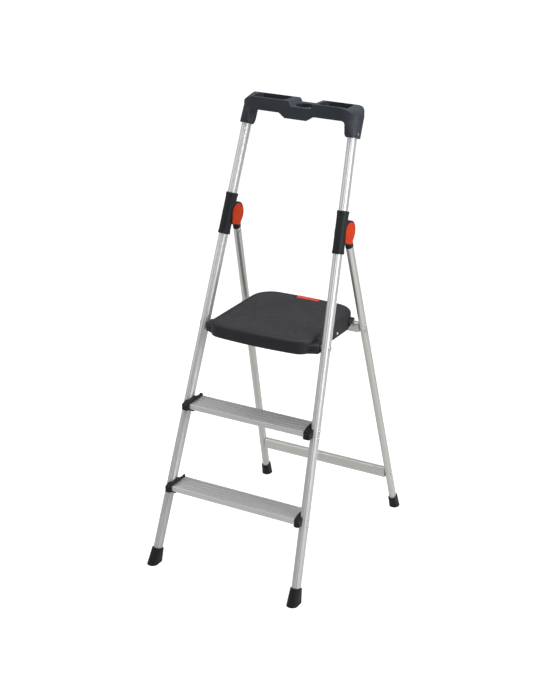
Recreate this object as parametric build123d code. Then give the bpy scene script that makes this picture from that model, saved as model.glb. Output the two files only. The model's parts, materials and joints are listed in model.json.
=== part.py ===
from build123d import *
import os

os.makedirs("parts", exist_ok=True)

# A folding step stool with two treads, a platform and a tool tray that doubles as the top handle.
# Millimetres, +Z up, X across the stool, Y from front to back. While the pieces are built, y is
# measured from the front feet; save() then moves everything so that the origin lies on the floor
# in the middle of the footprint. Sloping pieces are built for the right side and mirrored.

# Members: the axis of the right upright, the axis of the right rear leg, and the hinge between them
UPRIGHT_FOOT = Vector(223, 0, 0)
UPRIGHT_HEAD = Vector(160.3, 417.9, 1173.4)
LEG_FOOT = Vector(220, 633.5, 0)
LEG_HEAD = Vector(172.65, 372.8, 930)
HINGE = Vector(172.65, 360.7, 930.7)
PIVOT = Vector(188.3, 231.5, 650)

UPRIGHT_WIDTH = 22
UPRIGHT_DEPTH = 30
UPRIGHT_WALL = 1.6
UPRIGHT_START = 10
UPRIGHT_END = 1285
GROOVE_RADIUS = 2
NOSE_GROOVE = (5.3, -14.9)
SIDE_GROOVE = (12.1, 6)

LEG_WIDTH = 18
LEG_DEPTH = 24
LEG_WALL = 1.3
LEG_START = 12
LEG_END = 920.9

# Feet
FRONT_SOLE = (32, 50)
FRONT_SOLE_SHIFT = -2
REAR_SOLE = (28, 34)
REAR_SOLE_SHIFT = 1
SOLE_CORNER_MARGIN = 0.5
FRONT_FOOT_HEIGHT = 43
REAR_FOOT_HEIGHT = 38
SOLE_GROOVE_LEVELS = (4, 8)
SOLE_GROOVE_DEPTH = 0.7
RIM_HEIGHT = 4

# Treads
TREAD_TOPS = (222, 445)
TREAD_FRONTS = (51, 127.4)
TREAD_HALF_LENGTHS = (194.5, 179)
TREAD_DEPTH = 72
TREAD_HEIGHT = 16
TREAD_WALL = 2.2
TREAD_GROOVES = 5
GROOVE_PITCH = 13.75
GROOVE_WIDTH = 4
GROOVE_DEPTH = 1.3
NOSE_BAND = 9
RIVET_DROPS = (5, 24)

# Hinge housings
SLEEVE_BOTTOM = 942
SLEEVE_TOP = 1056
SLEEVE_WALL = 3
COLLAR_HEIGHT = 9
COLLAR_LIP = 0.8
BOSS_RADIUS = 33
BOSS_RISE = 3
BOSS_LEAD = 1.5
BOSS_HALF_WIDTH = 15.2
BOSS_FLAT = -30.5
HOUSING_SCREW_DROP = 13
SLOT_HALF_WIDTH = 11.4
SLOT_RADIUS = 28.6
SLOT_CEILING = 5
SLOT_FRONT = -9.9
CAP_RADIUS = 28
CAP_THICKNESS = 2.4
PIN_RADIUS = 4
EYE_RADIUS = 9.2
EYE_HALF_WIDTH = 9.8

# Braces between the rear legs
UPPER_BRACE = Vector(0, 452, 631.5)
UPPER_BRACE_SIZE = (20, 28)
UPPER_BRACE_HALF = 177.9
LOWER_BRACE = Vector(0, 596.7, 124)
LOWER_BRACE_SIZE = (18, 30)
LOWER_BRACE_HALF = 203.6
BRACE_WALL = 1.3
BRACE_RIVET_RISE = 8
PLUG_LENGTH = 22

# Platform
PLATFORM_TOP = 675
PLATFORM_HALF = 155
PLATFORM_FRONT = 176
PLATFORM_REAR = 494
FRONT_CORNER_RADIUS = 40
REAR_CORNER_RADIUS = 64
TOP_EDGE_RADIUS = 9
RIB_LINES_ALONG = (-100, -50, 0, 50, 100)
RIB_LINES_ACROSS = (230, 290, 350, 410, 464.75)
RIB_HALF_THICKNESS = 1.25
SKIRT_BOTTOM = 629
FRONT_SKIRT_BOTTOM = 637
REAR_SKIRT_BOTTOM = 646
SHELL_WALL = 3
DECK_THICKNESS = 4
DECK_BORDER = 12
DECK_GAP = 0.4
RIB_BOTTOM = 656
EAR_END = 175
EAR_TOP = 661
SIDE_RIVET_Y = 361
SIDE_RIVET_HEIGHT = 640
STRAP_OUTER = 144.5
STRAP_THICKNESS = 2.5

# Latch
LATCH_PIN = (476, 663)
LATCH_PIN_RADIUS = 2.5
LATCH_HALF = 35
LATCH_NOTCH_HALF = 38

# Handle and tool tray
TRAY_HALF = 177.5
TRAY_FRONT = 395
TRAY_REAR = 464
TRAY_TOP = 1256
TRAY_BOTTOM = 1221
TRAY_FLOOR = 1230
SOCKET_START = 1248
SOCKET_X = (-14, 15.5)
SOCKET_Y = (-22, 19)
CROWN_INNER = 110
CROWN_LEVEL = 1225
CROWN_CORNERS = (4, 52, 16, 4)
BAR_HALF = 125
SHOULDER_RADIUS = 40
SHOULDER_TURN = 14
SHOULDER_FLARE = 0.27
SHOULDER_INSET = 7
KEEL_DEPTH = 13
HANDLE_SCREW_RISE = 12
HANDLE_SCREW_SEAT = 14.2
SADDLE = (-18, 46)
SADDLE_LEVEL = 1242
POCKETS = ((-136, -36), (64, 148))
TOOL_HOLE = (13, 426)

FIT = 0.05
RIVET_RADIUS = 2.4
RIVET_HEAD_RADIUS = 4.5
FOOTPRINT_FRONT = UPRIGHT_FOOT.Y + FRONT_SOLE_SHIFT - FRONT_SOLE[1] / 2
FOOTPRINT_REAR = LEG_FOOT.Y + REAR_SOLE_SHIFT + REAR_SOLE[1] / 2
FOOTPRINT_MIDDLE = (FOOTPRINT_FRONT + FOOTPRINT_REAR) / 2

UPRIGHT_ALONG = (UPRIGHT_HEAD - UPRIGHT_FOOT).normalized()
LEG_ALONG = (LEG_HEAD - LEG_FOOT).normalized()


def save(name, *pieces):
    """Write one node, made of one or more separate solids, in the stool's own frame."""
    placed = [Pos(0, -FOOTPRINT_MIDDLE, 0) * piece for piece in pieces]
    shape = placed[0] if len(placed) == 1 else Compound(children=placed)
    export_step(shape, f"parts/{name}.step")


def mirrored(piece):
    """The same piece on the left side of the stool."""
    return mirror(piece, about=Plane.YZ)


def across(foot, along, distance):
    """Plane across a sloping member: local x outward, local y rearward."""
    outward = Vector(1, 0, 0) - along * along.X
    return Plane(origin=foot + along * distance, x_dir=outward.normalized(), z_dir=along)


def on_upright(distance):
    return across(UPRIGHT_FOOT, UPRIGHT_ALONG, distance)


def on_leg(distance):
    return across(LEG_FOOT, LEG_ALONG, distance)


def side_plane(x):
    """Plane seen from the side: local x is the stool's Y, local y is its Z."""
    return Plane(origin=(x, 0, 0), x_dir=(0, 1, 0), z_dir=(1, 0, 0))


def hinge_plane(x, along):
    """Side plane centred on the hinge: local y runs up the given member, local x is behind it."""
    upward = Vector(0, along.Y, along.Z).normalized()
    return Plane(origin=(x, HINGE.Y, HINGE.Z), x_dir=(0, upward.Z, -upward.Y), z_dir=(1, 0, 0))


def stadium(width, depth):
    return SlotOverall(depth, width, rotation=90)


def rod(y, z, radius, x_from, x_to):
    """Solid cylinder along X."""
    return extrude(side_plane(x_from) * (Pos(y, z) * Circle(radius)), amount=x_to - x_from)


def block(x_range, y_range, z_range):
    """Solid box between pairs of limits."""
    sizes = [high - low for low, high in (x_range, y_range, z_range)]
    centre = [(high + low) / 2 for low, high in (x_range, y_range, z_range)]
    return Pos(*centre) * Box(*sizes)


def side_slab(points, x_from, x_to):
    """Polygon drawn from the side and extruded along X."""
    return extrude(side_plane(x_from) * make_face(Polyline(*points, close=True)), amount=x_to - x_from)


def front_slab(points, y_from, y_to):
    """Polygon drawn from the front, as X and Z, and extruded along Y."""
    plane = Plane(origin=(0, y_from, 0), x_dir=(1, 0, 0), z_dir=(0, -1, 0))
    return extrude(plane * make_face(Polyline(*points, close=True)), amount=-(y_to - y_from))


def rivet(y, z, x_from, x_head):
    """Domed rivet along X: shank from x_from to the head's seat at x_head, head outside it."""
    shank = rod(y, z, RIVET_RADIUS, x_from, x_head)
    head = rod(y, z, RIVET_HEAD_RADIUS, x_head, x_head + 1.8)
    head = fillet(head.edges().sort_by(Axis.X)[-1], 1.5)
    return shank + head


def upright_core(clearance):
    """Solid with the upright's outline, used to make room for it in other pieces."""
    outline = stadium(UPRIGHT_WIDTH + 2 * clearance, UPRIGHT_DEPTH + 2 * clearance)
    length = UPRIGHT_END - UPRIGHT_START + 2 * clearance
    return extrude(on_upright(UPRIGHT_START - clearance) * outline, amount=length)


def leg_core(clearance):
    outline = stadium(LEG_WIDTH + 2 * clearance, LEG_DEPTH + 2 * clearance)
    return extrude(on_leg(LEG_START - clearance) * outline, amount=LEG_END - LEG_START + clearance)


def tread_rivet_points(top):
    """Where the rivets of one tread cross the middle of the upright."""
    level = top / UPRIGHT_ALONG.Z
    return [UPRIGHT_FOOT + UPRIGHT_ALONG * (level - drop) for drop in RIVET_DROPS]


def handle_screw_point():
    return UPRIGHT_FOOT + UPRIGHT_ALONG * (SOCKET_START + HANDLE_SCREW_RISE)


def housing_screw_plane():
    """Plane on the axis of the upright that faces rearward, where the housing's screw goes in."""
    spot = on_upright(SLEEVE_TOP - HOUSING_SCREW_DROP)
    return Plane(origin=spot.origin, x_dir=spot.x_dir, z_dir=spot.y_dir)


def upright():
    outline = stadium(UPRIGHT_WIDTH, UPRIGHT_DEPTH)
    outline -= stadium(UPRIGHT_WIDTH - 2 * UPRIGHT_WALL, UPRIGHT_DEPTH - 2 * UPRIGHT_WALL)
    for side in (-1, 1):
        for x, y in (NOSE_GROOVE, SIDE_GROOVE):
            outline -= Pos(side * x, y) * Circle(GROOVE_RADIUS)
    tube = extrude(on_upright(UPRIGHT_START) * outline, amount=UPRIGHT_END - UPRIGHT_START)
    for top in TREAD_TOPS:
        for point in tread_rivet_points(top):
            tube -= rod(point.Y, point.Z, RIVET_RADIUS + FIT, point.X - 30, point.X + 30)
    tube -= rod(PIVOT.Y, PIVOT.Z, PIN_RADIUS + FIT, PIVOT.X - 30, PIVOT.X + 30)
    screw = handle_screw_point()
    tube -= rod(screw.Y, screw.Z, RIVET_RADIUS + FIT, screw.X, screw.X + 30)
    return tube - extrude(housing_screw_plane() * Circle(RIVET_RADIUS + FIT), amount=30)


def rear_leg():
    outline = stadium(LEG_WIDTH, LEG_DEPTH)
    outline -= stadium(LEG_WIDTH - 2 * LEG_WALL, LEG_DEPTH - 2 * LEG_WALL)
    tube = extrude(on_leg(LEG_START) * outline, amount=LEG_END - LEG_START)
    for y, z in brace_rivet_points():
        tube -= rod(y, z, RIVET_RADIUS + FIT, 150, 260)
    point = leg_cap_rivet_point()
    tube -= rod(point.Y, point.Z, RIVET_RADIUS + FIT, point.X - 30, point.X)
    return tube


def foot(sole_size, sole_middle, plane_at, height, member_size, core):
    """Rubber shoe that flares from the member down to a rounded sole with two fine grooves round it."""
    rim_size = [size + 7 for size in member_size]
    rim_plane = plane_at(height - RIM_HEIGHT)
    rim_plan = RectangleRounded(*rim_size, rim_size[0] / 2 - 0.1)
    corner = sole_size[0] / 2 - SOLE_CORNER_MARGIN
    sole = Pos(*sole_middle) * RectangleRounded(*sole_size, corner)
    shoe = loft([sole.face(), (rim_plane * rim_plan).face()])
    for level in SOLE_GROOVE_LEVELS:
        share = level / rim_plane.origin.Z
        outer = [low + (high - low) * share for low, high in zip(sole_size, rim_size)]
        size = [extent - 2 * SOLE_GROOVE_DEPTH for extent in outer]
        centre = Vector(*sole_middle) + (rim_plane.origin - Vector(*sole_middle)) * share
        band = Rectangle(60, 80) - RectangleRounded(*size, size[0] / 2 - SOLE_CORNER_MARGIN)
        shoe -= extrude(Pos(centre) * band, amount=1)
    rim = extrude(rim_plane * rim_plan, amount=RIM_HEIGHT)
    rim = chamfer(rim.faces().sort_by(Axis.Z)[-1].edges(), 1.2)
    return shoe + rim - core


def front_foot():
    middle = (UPRIGHT_FOOT.X, UPRIGHT_FOOT.Y + FRONT_SOLE_SHIFT, 0)
    size = (UPRIGHT_WIDTH, UPRIGHT_DEPTH)
    return foot(FRONT_SOLE, middle, on_upright, FRONT_FOOT_HEIGHT, size, upright_core(FIT))


def rear_foot():
    middle = (LEG_FOOT.X, LEG_FOOT.Y + REAR_SOLE_SHIFT, 0)
    return foot(REAR_SOLE, middle, on_leg, REAR_FOOT_HEIGHT, (LEG_WIDTH, LEG_DEPTH), leg_core(FIT))


def tread(top, front, half_length):
    """Aluminium channel with a smooth nose band and long grooves in its top, open underneath."""
    bottom = top - TREAD_HEIGHT
    outline = RectangleRounded(TREAD_DEPTH, TREAD_HEIGHT, 3)
    hollow = Rectangle(TREAD_DEPTH - 2 * TREAD_WALL, TREAD_HEIGHT - 2 * TREAD_WALL - GROOVE_DEPTH)
    profile = outline - Pos(0, -GROOVE_DEPTH / 2) * hollow
    profile -= Pos(0, -TREAD_HEIGHT / 2) * Rectangle(TREAD_DEPTH - 24, TREAD_HEIGHT / 2)
    for index in range(TREAD_GROOVES):
        middle = NOSE_BAND + GROOVE_WIDTH / 2 + index * GROOVE_PITCH - TREAD_DEPTH / 2
        profile -= Pos(middle, TREAD_HEIGHT / 2) * Rectangle(GROOVE_WIDTH, 2 * GROOVE_DEPTH)
    centre = Pos(front + TREAD_DEPTH / 2, bottom + TREAD_HEIGHT / 2)
    return extrude(side_plane(-half_length) * (centre * profile), amount=2 * half_length)


def tread_bracket(top, front, half_length):
    """Moulded end of a tread: plug in the channel, raised side wall, lobe before the upright."""
    middle_height = top - TREAD_HEIGHT / 2
    axis = UPRIGHT_FOOT + UPRIGHT_ALONG * (middle_height / UPRIGHT_ALONG.Z)
    outer = axis.X - UPRIGHT_WIDTH / 2 - 0.9
    rear = front + TREAD_DEPTH
    wall_outline = [
        (front - 2, top - 15),
        (front - 2, top + 2),
        (front + 9, top + 6),
        (front + 22, top + 9),
        (front + 37, top + 10.5),
        (front + 41, top + 9.5),
        (front + 50, top + 5),
        (front + 64, top + 3),
        (rear - 1, top + 6),
        (rear + 1, top - 12),
        (axis.Y + 22, top - 18),
        (axis.Y + 18, top - 30),
        (axis.Y - 8, top - 30),
        (axis.Y - 10, top - 16),
    ]
    wall = side_slab(wall_outline, half_length, outer)
    lobe_plan = make_face(
        Polyline(
            (half_length, front - 3),
            (half_length + 3, front - 9),
            (axis.X - 3, front - 9),
            (axis.X, front - 6),
            (axis.X, axis.Y - 9),
            (half_length, axis.Y - 9),
            close=True,
        )
    )
    lobe = extrude(Pos(0, 0, top - 17) * lobe_plan, amount=28)
    slope = [
        (front - 20, top - 3),
        (front - 9, top - 2),
        (axis.Y - 9, top + 5),
        (axis.Y - 9, top + 20),
        (front - 20, top + 20),
    ]
    lobe -= side_slab(slope, half_length - 1, axis.X + 20)
    lobe = fillet(lobe.edges().filter_by(Axis.Z).sort_by(Axis.Y)[:2], 3)
    groove = block((axis.X - 5, axis.X - 3.6), (front - 12, front - 7), (top - 18, top + 12))
    underside = top - TREAD_HEIGHT
    lip = block(
        (half_length - 3, half_length + 2),
        (front - 1.6, front + 3),
        (underside - 2.2, underside - 0.2),
    )
    plug = block(
        (half_length - 16, half_length),
        (front + TREAD_WALL + 0.2, rear - TREAD_WALL - 0.2),
        (underside + TREAD_WALL + 0.2, top - TREAD_WALL - GROOVE_DEPTH - 0.2),
    )
    bracket = wall + (lobe - groove) + lip + plug
    bracket -= upright_core(0.2)
    for point in tread_rivet_points(top):
        bracket -= rod(point.Y, point.Z, RIVET_RADIUS + FIT, half_length - 20, point.X + 30)
    return bracket


def tread_rivets():
    rivets = []
    for top, half_length in zip(TREAD_TOPS, TREAD_HALF_LENGTHS):
        for point in tread_rivet_points(top):
            one = rivet(point.Y, point.Z, half_length + 1, point.X + UPRIGHT_WIDTH / 2 + 0.4)
            rivets += [one, mirrored(one)]
    return rivets


def boss_plane(x):
    """Plane of the housing's round boss, a little higher and further forward than the hinge pin."""
    return hinge_plane(x, UPRIGHT_ALONG) * Pos(-BOSS_LEAD, BOSS_RISE)


def hinge_housing():
    """Sleeve round the upright with two cheeks behind it that hold the top of the rear leg."""
    size = (UPRIGHT_WIDTH + 2 * SLEEVE_WALL, UPRIGHT_DEPTH + 2 * SLEEVE_WALL)
    sleeve = extrude(on_upright(SLEEVE_BOTTOM) * stadium(*size), amount=SLEEVE_TOP - SLEEVE_BOTTOM)
    up_the_tube = Axis(UPRIGHT_FOOT, UPRIGHT_ALONG)
    for start in (SLEEVE_BOTTOM, SLEEVE_TOP - COLLAR_HEIGHT):
        outline = stadium(*[extent + 2 * COLLAR_LIP for extent in size])
        collar = extrude(on_upright(start) * outline, amount=COLLAR_HEIGHT)
        for end in (0, -1):
            collar = fillet(collar.faces().sort_by(up_the_tube)[end].edges(), COLLAR_LIP)
        sleeve += collar
    floor_level = BOSS_FLAT - BOSS_RISE
    above_floor = Pos(0, BOSS_RADIUS + floor_level) * Rectangle(4 * BOSS_RADIUS, 2 * BOSS_RADIUS)
    disc = Circle(BOSS_RADIUS) & above_floor
    boss = extrude(boss_plane(HINGE.X - BOSS_HALF_WIDTH) * disc, amount=2 * BOSS_HALF_WIDTH)
    boss = fillet(boss.faces().filter_by(Axis.X).edges(), 1.2)
    mouth = Pos(SLOT_FRONT + 40, SLOT_CEILING - 40) * Rectangle(80, 80)
    behind_sleeve = Pos(SLOT_FRONT + 50, 0) * Rectangle(100, 160)
    opening = (Circle(SLOT_RADIUS) + mouth) & behind_sleeve
    cheek_plane = hinge_plane(HINGE.X - SLOT_HALF_WIDTH, UPRIGHT_ALONG)
    slot = extrude(cheek_plane * opening, amount=2 * SLOT_HALF_WIDTH)
    pin_hole = rod(HINGE.Y, HINGE.Z, PIN_RADIUS + FIT, HINGE.X - 30, HINGE.X + 30)
    screw_hole = extrude(housing_screw_plane() * Circle(RIVET_RADIUS + FIT), amount=30)
    return sleeve + boss - slot - upright_core(FIT) - pin_hole - screw_hole


def hinge_cap():
    """Coloured cover over the end of the hinge pin, squarer at its foot, with a groove round it."""
    foot_block = Pos(0, -CAP_RADIUS / 2 - 1) * RectangleRounded(2 * CAP_RADIUS - 9, CAP_RADIUS + 2, 8)
    outline = Circle(CAP_RADIUS) + foot_block
    cap = extrude(boss_plane(HINGE.X + BOSS_HALF_WIDTH) * outline, amount=CAP_THICKNESS)
    cap = fillet(cap.faces().sort_by(Axis.X)[-1].edges(), 1.2)
    dish = Circle(CAP_RADIUS - 5) - Circle(CAP_RADIUS - 6.2)
    face = boss_plane(HINGE.X + BOSS_HALF_WIDTH + CAP_THICKNESS - 0.5)
    return cap - extrude(face * dish, amount=2)


def inner_cap():
    """The same cover on the other cheek of the same housing."""
    return mirror(hinge_cap(), about=Plane(origin=(HINGE.X, 0, 0), z_dir=(1, 0, 0)))


def hinge_pin():
    half = BOSS_HALF_WIDTH - 0.2
    return rod(HINGE.Y, HINGE.Z, PIN_RADIUS, HINGE.X - half, HINGE.X + half)


def hinge_washers():
    """Thin rings that fill the space between the leg cap and the cheeks."""
    rings = []
    for side in (-1, 1):
        eye_side = HINGE.X + side * (EYE_HALF_WIDTH + 0.1)
        cheek_side = HINGE.X + side * (SLOT_HALF_WIDTH - 0.1)
        limits = sorted((eye_side, cheek_side))
        ring = rod(HINGE.Y, HINGE.Z, EYE_RADIUS - 0.7, *limits)
        ring -= rod(HINGE.Y, HINGE.Z, PIN_RADIUS + FIT, *limits)
        rings += [ring, mirrored(ring)]
    return rings


def hinge_screw():
    """Screw that holds the housing to the back of the upright."""
    seat = UPRIGHT_DEPTH / 2 + SLEEVE_WALL + COLLAR_LIP + 0.1
    plane = housing_screw_plane()
    shank = extrude(plane.offset(10) * Circle(RIVET_RADIUS), amount=seat - 10)
    head = extrude(plane.offset(seat) * Circle(4), amount=1.8)
    head = fillet(head.edges().sort_by(Axis.Y)[-1], 1)
    return shank + head


def leg_cap_rivet_point():
    return LEG_FOOT + LEG_ALONG * (LEG_END - 12)


def leg_cap():
    """Moulded head of the rear leg: an eye on the hinge pin, a body behind it and a plug in the tube."""
    offset = -(HINGE - LEG_FOOT).dot(Vector(0, LEG_ALONG.Z, -LEG_ALONG.Y).normalized())
    front = offset - LEG_DEPTH / 2 - 0.5
    rear = offset + LEG_DEPTH / 2 + 0.5
    eye = Circle(EYE_RADIUS)
    crown = Pos(rear - 9, -11) * Circle(9)
    base = Pos((front + rear) / 2, -24) * Rectangle(rear - front, 8)
    head = make_hull((eye + crown + base).edges())
    head_half = EYE_HALF_WIDTH - 0.3
    head = extrude(hinge_plane(HINGE.X - head_half, LEG_ALONG) * head, amount=2 * head_half)
    eye = extrude(hinge_plane(HINGE.X - EYE_HALF_WIDTH, LEG_ALONG) * eye, amount=2 * EYE_HALF_WIDTH)
    body = extrude(on_leg(LEG_END) * stadium(LEG_WIDTH + 1, LEG_DEPTH + 1), amount=26)
    bore = stadium(LEG_WIDTH - 2 * LEG_WALL - 0.2, LEG_DEPTH - 2 * LEG_WALL - 0.2)
    plug = extrude(on_leg(LEG_END - 26) * bore, amount=26)
    cap = head + eye + body + plug
    cap -= rod(HINGE.Y, HINGE.Z, PIN_RADIUS + FIT, HINGE.X - 30, HINGE.X + 30)
    point = leg_cap_rivet_point()
    return cap - rod(point.Y, point.Z, RIVET_RADIUS + FIT, point.X - 30, point.X)


def leg_cap_rivet():
    """Rivet on the inner side of the leg that holds the plug."""
    point = leg_cap_rivet_point()
    seat = point.X - LEG_WIDTH / 2 - 0.3
    shank = rod(point.Y, point.Z, RIVET_RADIUS, seat, point.X - 1)
    head = rod(point.Y, point.Z, RIVET_HEAD_RADIUS, seat - 1.6, seat)
    head = fillet(head.edges().sort_by(Axis.X)[0], 1.2)
    return shank + head


def brace_rivet_points():
    return [
        (UPPER_BRACE.Y, UPPER_BRACE.Z - BRACE_RIVET_RISE),
        (UPPER_BRACE.Y, UPPER_BRACE.Z + BRACE_RIVET_RISE),
        (LOWER_BRACE.Y, LOWER_BRACE.Z),
    ]


def brace(centre, size, half_length):
    profile = RectangleRounded(*size, 4)
    profile -= RectangleRounded(size[0] - 2 * BRACE_WALL, size[1] - 2 * BRACE_WALL, 2.7)
    placed = Pos(centre.Y, centre.Z) * profile
    return extrude(side_plane(-half_length) * placed, amount=2 * half_length)


def brace_plug(centre, size, half_length):
    """Plug in the right end of a brace, drilled for the rivets."""
    profile = RectangleRounded(size[0] - 2 * BRACE_WALL - 0.2, size[1] - 2 * BRACE_WALL - 0.2, 2.5)
    start = side_plane(half_length - PLUG_LENGTH)
    plug = extrude(start * (Pos(centre.Y, centre.Z) * profile), amount=PLUG_LENGTH)
    for y, z in brace_rivet_points():
        plug -= rod(y, z, RIVET_RADIUS + FIT, half_length - PLUG_LENGTH - 1, half_length + 1)
    return plug


def brace_rivets():
    rivets = []
    for y, z in brace_rivet_points():
        middle = LEG_FOOT + LEG_ALONG * (z / LEG_ALONG.Z)
        half_length = UPPER_BRACE_HALF if z > LOWER_BRACE.Z + LOWER_BRACE_SIZE[1] else LOWER_BRACE_HALF
        one = rivet(y, z, half_length - PLUG_LENGTH + 6, middle.X + LEG_WIDTH / 2 + 0.4)
        rivets += [one, mirrored(one)]
    return rivets


def platform_outline(inset):
    """Plan of the platform: slightly bowed front, straight sides, large rounded corners."""
    half = PLATFORM_HALF
    front_corner = PLATFORM_FRONT + 10
    rear_corner = PLATFORM_REAR - 7
    outline = make_face(
        Curve()
        + [
            ThreePointArc((-half, front_corner), (0, PLATFORM_FRONT), (half, front_corner)),
            Line((half, front_corner), (half, rear_corner)),
            ThreePointArc((half, rear_corner), (0, PLATFORM_REAR), (-half, rear_corner)),
            Line((-half, rear_corner), (-half, front_corner)),
        ]
    )
    outline = fillet(outline.vertices().group_by(Axis.Y)[0], FRONT_CORNER_RADIUS)
    outline = fillet(outline.vertices().group_by(Axis.Y)[-1], REAR_CORNER_RADIUS)
    if inset:
        outline = offset(outline, -inset)
    return outline


def platform_cavity():
    height = PLATFORM_TOP - DECK_THICKNESS - SKIRT_BOTTOM
    return extrude(Pos(0, 0, SKIRT_BOTTOM) * platform_outline(SHELL_WALL), amount=height)


def latch_notch():
    low = SKIRT_BOTTOM - 5
    return block((-LATCH_NOTCH_HALF, LATCH_NOTCH_HALF), (469.5, 500), (low, PLATFORM_TOP + 5))


def platform_ribs():
    """Stiffening ribs under the deck, as one overlapping grid."""
    depth = (RIB_BOTTOM, PLATFORM_TOP - DECK_THICKNESS)
    ribs = []
    for x in RIB_LINES_ALONG:
        limits = (x - RIB_HALF_THICKNESS, x + RIB_HALF_THICKNESS)
        ribs.append(block(limits, (PLATFORM_FRONT, RIB_LINES_ACROSS[-1] + RIB_HALF_THICKNESS), depth))
    for y in RIB_LINES_ACROSS:
        limits = (y - RIB_HALF_THICKNESS, y + RIB_HALF_THICKNESS)
        ribs.append(block((-PLATFORM_HALF, PLATFORM_HALF), limits, depth))
    return ribs


def platform_deck():
    """Tread panel let into the frame, with its stiffening ribs."""
    panel_plan = platform_outline(DECK_BORDER + DECK_GAP)
    deck = extrude(Pos(0, 0, PLATFORM_TOP - DECK_THICKNESS) * panel_plan, amount=DECK_THICKNESS)
    room = platform_cavity()
    for one_rib in platform_ribs():
        deck += one_rib & room
    return deck - latch_notch()


def ear():
    """Corner of the right skirt that flares out to the pivot."""
    plan = make_face(
        Polyline(
            (100, 180),
            (130, 191),
            (162, 207),
            (EAR_END, 212),
            (EAR_END, 244),
            (150, 252),
            (100, 252),
            close=True,
        )
    )
    flare = extrude(Pos(0, 0, FRONT_SKIRT_BOTTOM) * plan, amount=EAR_TOP - FRONT_SKIRT_BOTTOM)
    tips = flare.edges().filter_by(Axis.Z).group_by(Axis.X)[-1]
    flare = fillet(tips, 6)
    return fillet(flare.faces().sort_by(Axis.Z)[-1].edges(), 4)


def brace_lug():
    """Hood over the end of the upper brace, on the right side."""
    outline = [
        (426, 638),
        (426, 652),
        (432, 657),
        (452, 657),
        (458, 651),
        (458, 649),
        (439, 649),
        (431, 638),
    ]
    return side_slab(outline, PLATFORM_HALF - SHELL_WALL, PLATFORM_HALF + 5)


def platform_frame():
    """Skirt of the platform with a rounded border, pivot ears, hoods and bosses."""
    body = extrude(Pos(0, 0, SKIRT_BOTTOM) * platform_outline(0), amount=PLATFORM_TOP - SKIRT_BOTTOM)
    body = fillet(body.faces().sort_by(Axis.Z)[-1].edges(), TOP_EDGE_RADIUS)
    frame = body + ear() + mirrored(ear()) + brace_lug() + mirrored(brace_lug())
    frame -= platform_cavity()
    frame -= extrude(Pos(0, 0, SKIRT_BOTTOM) * platform_outline(DECK_BORDER), amount=60)
    for side in (-1, 1):
        lug_x = sorted((side * (LATCH_NOTCH_HALF + 2), side * (LATCH_NOTCH_HALF + 9)))
        frame += block(lug_x, (467, 492), (656, PLATFORM_TOP - DECK_THICKNESS))
        boss_x = sorted((side * (STRAP_OUTER + 0.1), side * (PLATFORM_HALF - 1)))
        frame += rod(SIDE_RIVET_Y, SIDE_RIVET_HEIGHT, 6, *boss_x)
    low = SKIRT_BOTTOM - 5
    trim = [
        (150, low),
        (150, FRONT_SKIRT_BOTTOM),
        (275, FRONT_SKIRT_BOTTOM),
        (340, SKIRT_BOTTOM),
        (340, low),
    ]
    frame -= side_slab(trim, -180, 180)
    brace_way = [
        (425.5, low),
        (440, 648.5),
        (466, 648.5),
        (466, REAR_SKIRT_BOTTOM),
        (500, REAR_SKIRT_BOTTOM),
        (500, low),
    ]
    frame -= side_slab(brace_way, -180, 180)
    frame -= latch_notch()
    y, z = LATCH_PIN
    frame -= rod(y, z, LATCH_PIN_RADIUS + FIT, -LATCH_NOTCH_HALF - 8, LATCH_NOTCH_HALF + 8)
    for side in (-1, 1):
        bore = sorted((side * 160, side * (EAR_END + 5)))
        frame -= rod(PIVOT.Y, PIVOT.Z, PIN_RADIUS + FIT, *bore)
        hole = sorted((side * 140, side * 170))
        frame -= rod(SIDE_RIVET_Y, SIDE_RIVET_HEIGHT, RIVET_RADIUS + FIT, *hole)
    return frame


def brace_hook():
    """Steel strap inside the side skirt, with an open seat that sits over the upper brace."""
    points = [
        (350, 633),
        (350, 648),
        (415, 654.5),
        (451, 654.5),
        (451, 648.5),
        (440, 648.5),
        (430, 633),
    ]
    strap = side_slab(points, STRAP_OUTER - STRAP_THICKNESS, STRAP_OUTER)
    bore = (STRAP_OUTER - 10, STRAP_OUTER + 10)
    return strap - rod(SIDE_RIVET_Y, SIDE_RIVET_HEIGHT, RIVET_RADIUS + FIT, *bore)


def hook_rivet():
    inner = STRAP_OUTER - STRAP_THICKNESS - 1
    return rivet(SIDE_RIVET_Y, SIDE_RIVET_HEIGHT, inner, PLATFORM_HALF)


def pivot_pin():
    """Pin through the upright and into the ear of the platform, with a low head outside."""
    face = PIVOT.X + UPRIGHT_WIDTH / 2 + 0.4
    head = fillet(rod(PIVOT.Y, PIVOT.Z, 7, face, face + 1.8).edges().sort_by(Axis.X)[-1], 1.2)
    return rod(PIVOT.Y, PIVOT.Z, PIN_RADIUS, 161, face) + head


def pivot_spacer():
    inner_face = PIVOT.X - UPRIGHT_WIDTH / 2
    ring = rod(PIVOT.Y, PIVOT.Z, 7.5, EAR_END + 0.1, inner_face - 0.6)
    return ring - rod(PIVOT.Y, PIVOT.Z, PIN_RADIUS + FIT, EAR_END, inner_face)


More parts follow.
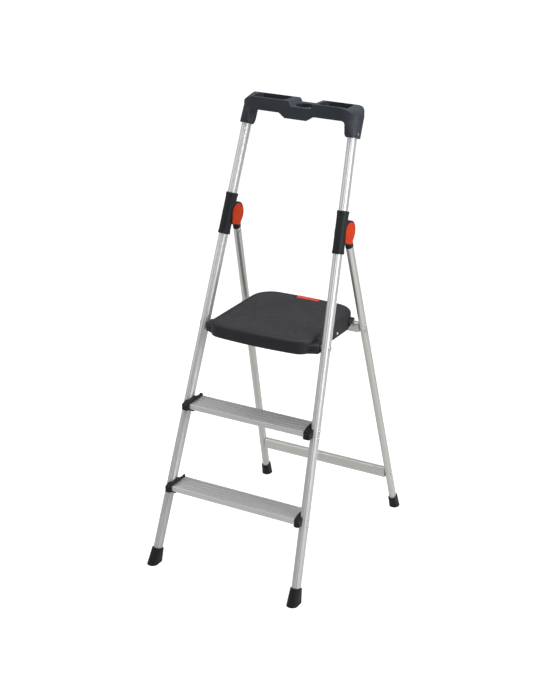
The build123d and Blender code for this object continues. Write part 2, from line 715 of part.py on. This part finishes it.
def latch_lever():
    """Finger plate at the rear edge with an arm that hangs behind the upper brace."""
    y, z = LATCH_PIN
    plate = [
        (y - 2, z + 4),
        (y - 2, z + 10.5),
        (y + 16.5, z + 10.5),
        (y + 17.5, z + 4),
        (y + 14, z + 5.5),
        (y + 4, z + 5.5),
    ]
    lever = side_slab(plate, -LATCH_HALF, LATCH_HALF)
    lever = fillet(lever.edges().filter_by(Axis.X).group_by(Axis.Z)[-1], 1.5)
    arm = [
        (y - 4, z),
        (y + 2, z),
        (y - 5, z - 46),
        (y - 7, z - 60),
        (y - 15, z - 59),
        (y - 15.5, z - 56),
        (y - 10.5, z - 50),
    ]
    lever += side_slab(arm, -LATCH_HALF + 5, LATCH_HALF - 5)
    for side in (-1, 1):
        lever += rod(y, z, 5.2, *sorted((side * 9, side * LATCH_HALF)))
    lever -= block((-9, 9), (y - 6, y + 6), (z - 7, z + 7))
    return lever - rod(y, z, LATCH_PIN_RADIUS + FIT, -LATCH_HALF - 1, LATCH_HALF + 1)


def latch_pin():
    y, z = LATCH_PIN
    return rod(y, z, LATCH_PIN_RADIUS, -LATCH_NOTCH_HALF - 7, LATCH_NOTCH_HALF + 7)


def latch_spring():
    """Torsion spring round the latch pin, in the gap between the two barrels."""
    y, z = LATCH_PIN
    coil = Helix(pitch=2.4, height=12, radius=4)
    path = Plane(origin=(-6, y, z), x_dir=(0, 1, 0), z_dir=(1, 0, 0)) * coil
    start = Plane(origin=path @ 0, z_dir=path % 0)
    return sweep(start * Circle(0.6), path=path)


def cornered(x_range, y_range, inner_front, outer_front, outer_rear, inner_rear):
    """Rectangle between limits, with a radius of its own for each corner."""
    (x_low, x_high), (y_low, y_high) = x_range, y_range
    corners = [(x_low, y_low), (x_high, y_low), (x_high, y_high), (x_low, y_high)]
    plan = make_face(Polyline(*corners, close=True))
    for corner, radius in zip(corners, (inner_front, outer_front, outer_rear, inner_rear)):
        plan = fillet(plan.vertices().sort_by_distance((*corner, 0))[0], radius)
    return plan


def handle_end():
    """Right end of the handle: a close socket that swells upwards into the end of the tray."""
    socket = on_upright(SOCKET_START) * cornered(SOCKET_X, SOCKET_Y, 12, 13, 4, 12)
    plan = cornered((CROWN_INNER, TRAY_HALF), (TRAY_FRONT, TRAY_REAR), *CROWN_CORNERS)
    crown = Pos(0, 0, CROWN_LEVEL) * plan
    return loft([socket.face(), crown.face()]) + extrude(crown, amount=TRAY_TOP - CROWN_LEVEL)


def handle_front_view():
    """Front view of the right half: a bar with a keel and a leg along the upright."""
    low = on_upright(SOCKET_START).origin
    inner_x = low.X + SOCKET_X[0]
    outer_x = TRAY_HALF + 1
    half = [
        (-10, TRAY_TOP),
        (outer_x, TRAY_TOP),
        (outer_x, low.Z - 12),
        (inner_x, low.Z - 12),
        (inner_x, TRAY_BOTTOM),
        (50, TRAY_BOTTOM),
        (33, TRAY_BOTTOM - KEEL_DEPTH),
        (-10, TRAY_BOTTOM - KEEL_DEPTH),
    ]
    face = make_face(Polyline(*half, close=True))
    return fillet(face.vertices().sort_by_distance((inner_x, TRAY_BOTTOM, 0))[0], 9)


def shoulder_envelope():
    """Flared block with a round top corner, turned so that it cuts in more towards the front."""
    outer_x = TRAY_HALF - SHOULDER_INSET
    drop = 150
    low_z = TRAY_TOP - drop
    flare = drop * SHOULDER_FLARE
    corners = [(-150, low_z), (outer_x + flare, low_z), (outer_x, TRAY_TOP), (-150, TRAY_TOP)]
    face = make_face(Polyline(*corners, close=True))
    face = fillet(face.vertices().sort_by_distance((outer_x, TRAY_TOP, 0))[0], SHOULDER_RADIUS)
    seen_from_front = Plane(origin=(0, 0, 0), x_dir=(1, 0, 0), z_dir=(0, -1, 0))
    envelope = extrude(seen_from_front * face, amount=150, both=True)
    return Pos(0, TRAY_REAR, 0) * Rot(0, 0, -SHOULDER_TURN) * envelope


def handle_side_view():
    """Side view of the handle: a plain front, and a back that tapers down to the sockets."""
    low = on_upright(SOCKET_START).origin
    points = [
        (TRAY_FRONT + 1, TRAY_TOP),
        (TRAY_REAR, TRAY_TOP - 2),
        (TRAY_REAR + 1, TRAY_TOP - 32),
        (low.Y + 40, low.Z - 20),
        (TRAY_FRONT + 3.5, low.Z - 20),
    ]
    face = make_face(Polyline(*points, close=True))
    return fillet(face.vertices().sort_by_distance((TRAY_REAR, TRAY_TOP - 2, 0))[0], 9)


def tool_tray_handle():
    """Moulded handle across the tops of the uprights, with a saddle, a tool hole and two pockets."""
    bar_z = (TRAY_BOTTOM - KEEL_DEPTH, TRAY_TOP)
    half = handle_end() + block((-8, BAR_HALF), (TRAY_FRONT, TRAY_REAR), bar_z)
    seen_from_front = Plane(origin=(0, 350, 0), x_dir=(1, 0, 0), z_dir=(0, -1, 0))
    half &= extrude(seen_from_front * handle_front_view(), amount=-160)
    half &= extrude(side_plane(-20) * handle_side_view(), amount=240)
    half &= shoulder_envelope()
    half -= upright_core(FIT)
    handle = half + mirrored(half)
    middle_y = (TRAY_FRONT + TRAY_REAR) / 2
    for x_from, x_to in POCKETS:
        size = (x_to - x_from, TRAY_REAR - TRAY_FRONT - 15)
        pocket = Pos((x_from + x_to) / 2, middle_y + 1, TRAY_FLOOR) * RectangleRounded(*size, 14)
        handle -= extrude(pocket, amount=60)
    handle -= extrude(Pos(*TOOL_HOLE, TRAY_BOTTOM - 50) * SlotOverall(50, 42), amount=100)
    start, end = SADDLE
    saddle = [
        (start - 4, TRAY_TOP + 5),
        (start + 4, SADDLE_LEVEL),
        (end, SADDLE_LEVEL),
        (end + 10, TRAY_TOP + 5),
    ]
    handle -= front_slab(saddle, TRAY_FRONT - 20, TRAY_REAR + 20)
    screw = handle_screw_point()
    hole = rod(screw.Y, screw.Z, RIVET_RADIUS + FIT, screw.X, screw.X + 30)
    hole += rod(screw.Y, screw.Z, 4.6, screw.X + HANDLE_SCREW_SEAT, screw.X + 30)
    return handle - hole - mirrored(hole)


def handle_screw():
    screw = handle_screw_point()
    seat = screw.X + HANDLE_SCREW_SEAT
    head = fillet(rod(screw.Y, screw.Z, 4.2, seat, seat + 2).edges().sort_by(Axis.X)[-1], 1.2)
    return rod(screw.Y, screw.Z, RIVET_RADIUS, screw.X + 5, seat) + head


def save_pair(name, piece):
    save(f"right_{name}", piece)
    save(f"left_{name}", mirrored(piece))


save_pair("upright", upright())
save_pair("front_foot", front_foot())
treads = zip(("lower", "upper"), TREAD_TOPS, TREAD_FRONTS, TREAD_HALF_LENGTHS)
for level, top, front, half_length in treads:
    save(f"{level}_tread", tread(top, front, half_length))
    save_pair(f"{level}_tread_bracket", tread_bracket(top, front, half_length))
save("tread_rivets", *tread_rivets())
save_pair("hinge_housing", hinge_housing())
save_pair("outer_hinge_cap", hinge_cap())
save_pair("inner_hinge_cap", inner_cap())
save("hinge_pins", hinge_pin(), mirrored(hinge_pin()))
save("hinge_washers", *hinge_washers())
save("hinge_screws", hinge_screw(), mirrored(hinge_screw()))
save("tool_tray_handle", tool_tray_handle())
save("handle_screws", handle_screw(), mirrored(handle_screw()))
save("pivot_pins", pivot_pin(), mirrored(pivot_pin()))
save("pivot_spacers", pivot_spacer(), mirrored(pivot_spacer()))

save_pair("rear_leg", rear_leg())
save_pair("leg_cap", leg_cap())
save("leg_cap_rivets", leg_cap_rivet(), mirrored(leg_cap_rivet()))
save_pair("rear_foot", rear_foot())
upper_plug = brace_plug(UPPER_BRACE, UPPER_BRACE_SIZE, UPPER_BRACE_HALF)
lower_plug = brace_plug(LOWER_BRACE, LOWER_BRACE_SIZE, LOWER_BRACE_HALF)
save("upper_brace", brace(UPPER_BRACE, UPPER_BRACE_SIZE, UPPER_BRACE_HALF))
save("lower_brace", brace(LOWER_BRACE, LOWER_BRACE_SIZE, LOWER_BRACE_HALF))
save("brace_plugs", upper_plug, mirrored(upper_plug), lower_plug, mirrored(lower_plug))
save("brace_rivets", *brace_rivets())

save("platform_frame", platform_frame())
save("platform_deck", platform_deck())
save_pair("brace_hook", brace_hook())
save("hook_rivets", hook_rivet(), mirrored(hook_rivet()))
save("latch_lever", latch_lever())
save("latch_pin", latch_pin())
save("latch_spring", latch_spring())
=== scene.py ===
import json
import math

import bpy
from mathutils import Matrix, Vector
from mathutils.bvhtree import BVHTree


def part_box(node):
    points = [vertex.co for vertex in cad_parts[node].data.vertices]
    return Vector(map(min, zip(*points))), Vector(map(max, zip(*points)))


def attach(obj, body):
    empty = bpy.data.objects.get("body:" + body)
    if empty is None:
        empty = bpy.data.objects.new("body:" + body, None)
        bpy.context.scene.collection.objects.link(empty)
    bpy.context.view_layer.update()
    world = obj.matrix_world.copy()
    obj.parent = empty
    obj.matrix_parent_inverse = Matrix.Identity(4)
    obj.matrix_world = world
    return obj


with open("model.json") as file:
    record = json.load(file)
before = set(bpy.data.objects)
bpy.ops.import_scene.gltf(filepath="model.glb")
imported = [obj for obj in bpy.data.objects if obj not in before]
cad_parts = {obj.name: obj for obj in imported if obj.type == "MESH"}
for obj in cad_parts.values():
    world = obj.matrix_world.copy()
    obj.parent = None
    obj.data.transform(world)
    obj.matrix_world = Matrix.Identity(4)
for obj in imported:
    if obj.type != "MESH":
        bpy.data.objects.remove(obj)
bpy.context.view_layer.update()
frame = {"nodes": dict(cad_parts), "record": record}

NODES = frame["nodes"]

# Directions of the sloping members on the right side, from the floor upwards
UPRIGHT_ALONG = Vector((-0.0479, 0.3351, 0.9410))
LEG_ALONG = Vector((-0.0490, -0.2695, 0.9617))
ACROSS = Vector((1, 0, 0))

# Shading radius of moulded edges
MOULD_RADIUS = 0.0012

# Rounding that each material's parts get along their sharp edges, in metres
EDGE_RADIUS = {
    "bracket_plastic": 0.0009,
    "hinge_plastic": 0.0006,
    "tray_plastic": 0.0016,
    "platform_plastic": 0.0008,
    "cap_orange": 0.0004,
    "latch_red": 0.0006,
    "foot_rubber": 0.0005,
    "tread_metal": 0.0004,
    "anodised_tube": 0.0003,
    "brace_metal": 0.0003,
}
SHARP_ANGLE = 38
WELD_REACH = 0.00001

# Non-slip studs of the deck
GRIP_PITCH = 0.0096
GRIP_HALF_WIDTH = 0.0036
GRIP_TOP_SHARE = 0.45
GRIP_HEIGHT = 0.0006
GRIP_SINK = 0.0004
GRIP_MARGIN = 0.006
PROBE_RISE = 0.01
PROBE_REACH = 0.012

# Rivets in the platform's pivot ears; the head's profile runs from its foot to the hole in its
# crown, as shares of its radius and of its height
EAR_RIVET = Vector((0.158, -0.1070, 0.650))
EAR_RIVET_OUTWARD = Vector((0.447, -0.894, 0)).normalized()
EAR_RIVET_RADIUS = 0.0042
EAR_RIVET_HEIGHT = 0.0018
HEAD_STEPS = 28
HEAD_PROFILE = [
    (1.0, -0.5),
    (1.0, 0.35),
    (0.92, 0.62),
    (0.72, 0.88),
    (0.45, 1.0),
    (0.33, 0.98),
    (0.27, 0.62),
]

# Camera: its place, its angles round from the front and above level in degrees, its lens in mm
CAMERA_PLACE = (1.9253, -3.45185, 2.2243)
CAMERA_AZIMUTH = 29.508
CAMERA_ELEVATION = 22.627
CAMERA_LENS = 79.64

# Studio: how bright the room is at floor level and overhead, and how the floor glows
ROOM_LOW = (0.20, 0.20, 0.21, 1)
ROOM_HIGH = (0.50, 0.50, 0.50, 1)
FLOOR_REACH = 14
FLOOR_GLOW_SEEN = 0.86
FLOOR_GLOW_REFLECTED = 0.24


# ---------------------------------------------------------------- materials


class Nodes:
    """Small helper that builds one material's node tree."""

    def __init__(self, name, specular=0.5):
        self.material = bpy.data.materials.new(name)
        self.material.use_nodes = True
        self.tree = self.material.node_tree
        self.shader = self.tree.nodes["Principled BSDF"]
        self.shader.inputs["Specular IOR Level"].default_value = specular
        self.coords = self.add("ShaderNodeTexCoord").outputs["Object"]

    def add(self, kind, **settings):
        node = self.tree.nodes.new(kind)
        for key, value in settings.items():
            setattr(node, key, value)
        return node

    def link(self, source, target):
        self.tree.links.new(source, target)

    def feed(self, socket, value):
        """Connect a socket, or set it to a colour or a number."""
        if isinstance(value, bpy.types.NodeSocket):
            self.link(value, socket)
        elif isinstance(value, (tuple, list)):
            socket.default_value = (*value, 1.0)[:4]
        else:
            socket.default_value = value

    def scaled(self, vector, scale):
        mapping = self.add("ShaderNodeMapping")
        mapping.inputs["Scale"].default_value = scale
        self.link(vector, mapping.inputs["Vector"])
        return mapping.outputs["Vector"]

    def lengthwise(self, along):
        """Coordinates whose z runs along a member; the left side mirrors the right one."""
        split = self.add("ShaderNodeSeparateXYZ")
        self.link(self.coords, split.inputs["Vector"])
        folded = self.add("ShaderNodeMath", operation="ABSOLUTE")
        self.link(split.outputs["X"], folded.inputs[0])
        joined = self.add("ShaderNodeCombineXYZ")
        self.link(folded.outputs["Value"], joined.inputs["X"])
        self.link(split.outputs["Y"], joined.inputs["Y"])
        self.link(split.outputs["Z"], joined.inputs["Z"])
        turned = self.add("ShaderNodeMapping")
        turned.inputs["Rotation"].default_value = along.rotation_difference(Vector((0, 0, 1))).to_euler()
        self.link(joined.outputs["Vector"], turned.inputs["Vector"])
        return turned.outputs["Vector"]

    def noise(self, scale, detail=3.0, roughness=0.5, vector=None):
        noise = self.add("ShaderNodeTexNoise")
        noise.inputs["Scale"].default_value = scale
        noise.inputs["Detail"].default_value = detail
        noise.inputs["Roughness"].default_value = roughness
        self.link(vector or self.coords, noise.inputs["Vector"])
        return noise.outputs["Fac"]

    def spread(self, value, low, high, start=0.3, end=0.7):
        """Remap a value between start and end to between low and high."""
        remap = self.add("ShaderNodeMapRange")
        remap.inputs["From Min"].default_value = start
        remap.inputs["From Max"].default_value = end
        remap.inputs["To Min"].default_value = low
        remap.inputs["To Max"].default_value = high
        self.link(value, remap.inputs["Value"])
        return remap.outputs["Result"]

    def mix(self, factor, first, second):
        mix = self.add("ShaderNodeMix", data_type="RGBA")
        self.feed(mix.inputs[0], factor)
        self.feed(mix.inputs[6], first)
        self.feed(mix.inputs[7], second)
        return mix.outputs[2]

    def bump(self, height, distance, strength=1.0, over=None):
        bump = self.add("ShaderNodeBump")
        bump.inputs["Distance"].default_value = distance
        bump.inputs["Strength"].default_value = strength
        self.link(height, bump.inputs["Height"])
        if over:
            self.link(over, bump.inputs["Normal"])
        return bump.outputs["Normal"]

    def rounded(self, radius):
        """Surface normal with the last sharpness taken off the moulded edges."""
        bevel = self.add("ShaderNodeBevel", samples=4)
        bevel.inputs["Radius"].default_value = radius
        return bevel.outputs["Normal"]

    def pointiness(self):
        return self.add("ShaderNodeNewGeometry").outputs["Pointiness"]

    def edges(self, most):
        """Rises to most on sharp outer edges, zero elsewhere."""
        return self.spread(self.pointiness(), 0, most, 0.52, 0.60)

    def hollows(self, most):
        """Rises to most in sharp inner corners and narrow grooves, zero elsewhere."""
        return self.spread(self.pointiness(), most, 0, 0.40, 0.48)

    def finish(self, color, roughness, normal=None, metallic=0.0):
        self.feed(self.shader.inputs["Base Color"], color)
        self.feed(self.shader.inputs["Roughness"], roughness)
        self.shader.inputs["Metallic"].default_value = metallic
        if normal:
            self.link(normal, self.shader.inputs["Normal"])
        return self.material


def shade(color, share):
    """A colour made darker or lighter, but no lighter than white."""
    return [min(1.0, channel * share) for channel in color]


def satin_metal(name, light, dark, along, roughness=(0.30, 0.40), metallic=0.8):
    """Satin metal: lengthwise extrusion lines, faint clouds, a few scuffs, painted shade in the grooves.
    """
    n = Nodes(name)
    member = n.lengthwise(along)
    lines = n.noise(1.0, 3.0, 0.6, n.scaled(member, (700, 700, 2)))
    fine = n.noise(1.0, 2.0, 0.5, n.scaled(member, (2400, 2400, 14)))
    clouds = n.noise(9.0, 4.0, 0.6)
    scuffs = n.noise(160.0, 5.0, 0.7, n.scaled(member, (1, 1, 0.3)))
    color = n.mix(n.spread(lines, 0, 1, 0.25, 0.75), dark, light)
    color = n.mix(n.spread(clouds, 0, 0.35), color, shade(light, 0.86))
    color = n.mix(n.spread(scuffs, 0, 0.14, 0.62, 0.78), color, shade(dark, 0.7))
    # Painted shade: groove floors and inner corners are darkened in the colour itself
    color = n.mix(n.hollows(0.9), color, shade(dark, 0.25))
    rough = n.spread(clouds, *roughness)
    return n.finish(color, rough, n.bump(fine, 0.00003, 0.3), metallic)


def moulded_plastic(name, base, pale, roughness=(0.45, 0.6), grain=1100.0, specular=0.28):
    """Moulded plastic: fine leathery grain, soft clouds, paler rubbed edges and thin scratches."""
    n = Nodes(name, specular)
    grit = n.noise(grain, 3.0, 0.6)
    clouds = n.noise(16.0, 4.0)
    scratch = n.noise(1.0, 2.0, 0.5, n.scaled(n.coords, (900, 60, 60)))
    color = n.mix(n.spread(clouds, 0, 1), base, pale)
    color = n.mix(n.spread(grit, 0, 0.3), color, shade(pale, 1.35))
    color = n.mix(n.spread(scratch, 0, 0.25, 0.68, 0.76), color, shade(pale, 1.8))
    color = n.mix(n.edges(0.45), color, shade(pale, 2.2))
    rough = n.spread(n.noise(70.0, 3.0), *roughness)
    return n.finish(color, rough, n.bump(grit, 0.00006, 0.6, n.rounded(MOULD_RADIUS)))


SATIN = (0.34, 0.46)
FINE_GRAIN = 1500.0

MATERIALS = {
    "anodised_tube": satin_metal(
        "upright_aluminium", (0.76, 0.76, 0.76), (0.62, 0.62, 0.62), UPRIGHT_ALONG, (0.42, 0.52)
    ),
    "leg_tube": satin_metal("leg_aluminium", (0.80, 0.80, 0.765), (0.66, 0.66, 0.63), LEG_ALONG),
    "brace_metal": satin_metal("brace_aluminium", (0.80, 0.80, 0.765), (0.66, 0.66, 0.635), ACROSS),
    "tread_metal": satin_metal("tread_aluminium", (0.77, 0.77, 0.77), (0.63, 0.63, 0.63), ACROSS),
    "bracket_plastic": moulded_plastic(
        "bracket_plastic", (0.008, 0.008, 0.009), (0.013, 0.013, 0.014), (0.28, 0.42)
    ),
    "hinge_plastic": moulded_plastic(
        "hinge_plastic", (0.010, 0.012, 0.014), (0.017, 0.020, 0.022), specular=0.2
    ),
    "tray_plastic": moulded_plastic("tray_plastic", (0.024, 0.028, 0.036), (0.034, 0.039, 0.050)),
    "platform_plastic": moulded_plastic(
        "platform_plastic", (0.018, 0.019, 0.022), (0.026, 0.026, 0.029)
    ),
    "cap_orange": moulded_plastic(
        "cap_orange", (0.54, 0.032, 0.002), (0.62, 0.046, 0.004), SATIN, FINE_GRAIN, 0.15
    ),
    "latch_red": moulded_plastic(
        "latch_red", (0.54, 0.036, 0.024), (0.64, 0.055, 0.038), SATIN, FINE_GRAIN, 0.25
    ),
    "foot_rubber": moulded_plastic(
        "foot_rubber", (0.008, 0.008, 0.009), (0.013, 0.013, 0.014), (0.34, 0.5)
    ),
    "plug_plastic": moulded_plastic("plug_plastic", (0.42, 0.42, 0.40), (0.5, 0.5, 0.47)),
    "washer_nylon": moulded_plastic("washer_nylon", (0.6, 0.6, 0.56), (0.7, 0.7, 0.66)),
    "fastener_steel": satin_metal(
        "fastener_steel", (0.78, 0.78, 0.76), (0.6, 0.6, 0.59), ACROSS, (0.22, 0.34), 1.0
    ),
    "spring_steel": satin_metal(
        "spring_steel", (0.45, 0.45, 0.45), (0.3, 0.3, 0.3), ACROSS, (0.25, 0.4), 1.0
    ),
}


def soften_edges(node, radius):
    """Round the sharp edges of a CAD node in its modifiers, leaving its mesh as it is."""
    weld = node.modifiers.new("weld", "WELD")
    weld.merge_threshold = WELD_REACH
    bevel = node.modifiers.new("edge", "BEVEL")
    bevel.width = radius
    bevel.segments = 2
    bevel.limit_method = "ANGLE"
    bevel.angle_limit = math.radians(SHARP_ANGLE)
    bevel.use_clamp_overlap = True
    bevel.harden_normals = True
    weighted = node.modifiers.new("normals", "WEIGHTED_NORMAL")
    weighted.keep_sharp = False


def dress_nodes():
    """Give every CAD node its slot's material and soft edges.

    The rear legs share the uprights' slot, but their metal is warmer and its lines run along the legs.
    """
    slots = {part["node"]: part["material_slot"] for part in frame["record"]["subparts"]}
    for name, node in NODES.items():
        slot = slots[name]
        node.data.materials.clear()
        node.data.materials.append(MATERIALS["leg_tube" if "rear_leg" in name else slot])
        if slot in EDGE_RADIUS:
            soften_edges(node, EDGE_RADIUS[slot])


dress_nodes()


# ---------------------------------------------------------------- added pieces


def add_piece(name, vertices, faces, slot, body):
    """New visible mesh in the frame's own coordinates, riding on one body."""
    mesh = bpy.data.meshes.new(name)
    mesh.from_pydata(vertices, [], faces)
    mesh.materials.append(MATERIALS[slot])
    piece = bpy.data.objects.new(name, mesh)
    bpy.context.scene.collection.objects.link(piece)
    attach(piece, body)
    return piece


def grip_stud(x, y, level):
    """Diamond-shaped stud with sloping sides: four base corners, then four smaller top corners."""
    corners = []
    for reach, z in ((1.0, level - GRIP_SINK), (GRIP_TOP_SHARE, level + GRIP_HEIGHT)):
        half = GRIP_HALF_WIDTH * reach
        corners += [(x + half, y, z), (x, y + half, z), (x - half, y, z), (x, y - half, z)]
    return corners


def clear_of_edge(surface, x, y, level):
    """Whether a point on the deck has the deck's flat top on all four sides of it."""
    for dx, dy in ((GRIP_MARGIN, 0), (-GRIP_MARGIN, 0), (0, GRIP_MARGIN), (0, -GRIP_MARGIN)):
        above = Vector((x + dx, y + dy, level + PROBE_RISE))
        if not surface.ray_cast(above, Vector((0, 0, -1)), PROBE_REACH)[0]:
            return False
    return True


def add_faces(faces, skin, start):
    """Add one more shape's faces, whose corners are numbered from start in the whole piece."""
    faces += [[start + index for index in face] for face in skin]


def make_grip():
    """Non-slip studs over the whole deck panel, in staggered rows that stop short of its edge."""
    low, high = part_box("platform_deck")
    surface = BVHTree.FromObject(NODES["platform_deck"], bpy.context.evaluated_depsgraph_get())
    skin = [(3, 2, 1, 0), (4, 5, 6, 7), (0, 1, 5, 4), (1, 2, 6, 5), (2, 3, 7, 6), (3, 0, 4, 7)]
    vertices, faces = [], []
    row = 0
    y = low.y + GRIP_PITCH / 2
    while y < high.y:
        x = low.x + GRIP_PITCH * (0.5 if row % 2 else 1.0)
        while x < high.x:
            if clear_of_edge(surface, x, y, high.z):
                add_faces(faces, skin, len(vertices))
                vertices += grip_stud(x, y, high.z)
            x += GRIP_PITCH
        y += GRIP_PITCH / 2
        row += 1
    add_piece("deck_grip", vertices, faces, "platform_plastic", "platform")


def turned_head(centre, outward, radius, height):
    """Domed rivet head with a small hole in its crown, as rings round the outward axis."""
    turn = Vector((0, 0, 1)).rotation_difference(outward)
    vertices = []
    for share, rise in HEAD_PROFILE:
        for step in range(HEAD_STEPS):
            angle = 2 * math.pi * step / HEAD_STEPS
            flat = Vector((math.cos(angle), math.sin(angle), 0)) * share * radius
            vertices.append(centre + turn @ (flat + Vector((0, 0, rise * height))))
    faces = [list(range(HEAD_STEPS))[::-1]]
    rings = len(HEAD_PROFILE)
    for ring in range(rings - 1):
        for step in range(HEAD_STEPS):
            here = ring * HEAD_STEPS + step
            beside = ring * HEAD_STEPS + (step + 1) % HEAD_STEPS
            faces.append([here, beside, beside + HEAD_STEPS, here + HEAD_STEPS])
    faces.append([(rings - 1) * HEAD_STEPS + step for step in range(HEAD_STEPS)])
    return vertices, faces


def make_ear_rivets():
    """One black plastic rivet in the sloping front of each pivot ear of the platform."""
    vertices, faces = [], []
    for side in (-1, 1):
        mirror = Vector((side, 1, 1))
        centre = EAR_RIVET * mirror
        outward = EAR_RIVET_OUTWARD * mirror
        head, skin = turned_head(centre, outward, EAR_RIVET_RADIUS, EAR_RIVET_HEIGHT)
        add_faces(faces, skin, len(vertices))
        vertices += head
    rivets = add_piece("ear_rivets", vertices, faces, "hinge_plastic", "platform")
    rivets.data.shade_smooth()


make_grip()
make_ear_rivets()


# ---------------------------------------------------------------- stage, light, camera


def make_camera():
    """Camera that looks slightly down on the stool from its front right."""
    data = bpy.data.cameras.new("camera")
    data.lens = CAMERA_LENS
    data.sensor_width = 36
    data.clip_end = 60
    camera = bpy.data.objects.new("camera", data)
    bpy.context.scene.collection.objects.link(camera)
    azimuth = math.radians(CAMERA_AZIMUTH)
    elevation = math.radians(CAMERA_ELEVATION)
    back = Vector(
        (
            math.sin(azimuth) * math.cos(elevation),
            -math.cos(azimuth) * math.cos(elevation),
            math.sin(elevation),
        )
    )
    camera.location = CAMERA_PLACE
    camera.rotation_mode = "QUATERNION"
    camera.rotation_quaternion = (-back).to_track_quat("-Z", "Y")
    bpy.context.scene.camera = camera


def make_area(name, location, target, size, power):
    """Soft box at a place, turned towards a target."""
    data = bpy.data.lights.new(name, "AREA")
    data.shape = "RECTANGLE"
    data.size, data.size_y = size
    data.energy = power
    light = bpy.data.objects.new(name, data)
    light.location = location
    aim = Vector(target) - Vector(location)
    light.rotation_mode = "QUATERNION"
    light.rotation_quaternion = aim.to_track_quat("-Z", "Y")
    bpy.context.scene.collection.objects.link(light)


def make_world():
    """White behind the stool; for lighting, a soft room that is brighter overhead."""
    world = bpy.data.worlds.new("studio")
    world.use_nodes = True
    tree = world.node_tree
    background = tree.nodes["Background"]
    coords = tree.nodes.new("ShaderNodeTexCoord").outputs["Generated"]
    split = tree.nodes.new("ShaderNodeSeparateXYZ")
    tree.links.new(coords, split.inputs["Vector"])
    ramp = tree.nodes.new("ShaderNodeValToRGB")
    ramp.color_ramp.elements[0].position = 0.0
    ramp.color_ramp.elements[0].color = ROOM_LOW
    ramp.color_ramp.elements[1].position = 0.9
    ramp.color_ramp.elements[1].color = ROOM_HIGH
    tree.links.new(split.outputs["Z"], ramp.inputs["Fac"])
    rays = tree.nodes.new("ShaderNodeLightPath").outputs["Is Camera Ray"]
    choose = tree.nodes.new("ShaderNodeMix")
    choose.data_type = "RGBA"
    tree.links.new(rays, choose.inputs[0])
    tree.links.new(ramp.outputs["Color"], choose.inputs[6])
    choose.inputs[7].default_value = (1, 1, 1, 1)
    tree.links.new(choose.outputs[2], background.inputs["Color"])
    background.inputs["Strength"].default_value = 1.0
    bpy.context.scene.world = world


def make_floor():
    """Pale paper sheet, white to the camera and a little brighter in reflections than as a light."""
    mesh = bpy.data.meshes.new("floor")
    corners = [(-1, -1), (1, -1), (1, 1), (-1, 1)]
    mesh.from_pydata([(x * FLOOR_REACH, y * FLOOR_REACH, 0) for x, y in corners], [], [(0, 1, 2, 3)])
    floor = bpy.data.objects.new("floor", mesh)
    bpy.context.scene.collection.objects.link(floor)
    n = Nodes("floor_paper", 0.0)
    grain = n.noise(400.0, 2.0)
    color = n.mix(n.spread(grain, 0, 1), (0.40, 0.40, 0.40), (0.43, 0.43, 0.43))
    n.shader.inputs["Emission Color"].default_value = (1, 1, 1, 1)
    rays = n.add("ShaderNodeLightPath").outputs
    seen = n.spread(rays["Is Camera Ray"], 0.0, FLOOR_GLOW_SEEN, 0.0, 1.0)
    reflected = n.spread(rays["Is Glossy Ray"], 0.0, FLOOR_GLOW_REFLECTED, 0.0, 1.0)
    glow = n.add("ShaderNodeMath", operation="ADD")
    n.link(seen, glow.inputs[0])
    n.link(reflected, glow.inputs[1])
    n.link(glow.outputs["Value"], n.shader.inputs["Emission Strength"])
    mesh.materials.append(n.finish(color, 0.9))


make_camera()
make_world()
make_floor()
make_area("left", (-1.6, -1.3, 1.5), (0, -0.1, 0.8), (1.2, 1.6), 9)
make_area("right", (2.2, -0.1, 1.5), (0, 0, 0.7), (1.2, 2.0), 38)
make_area("top", (0.1, 0.2, 2.7), (0, 0, 0.7), (1.6, 1.6), 34)
bpy.context.scene.view_settings.view_transform = "Standard"
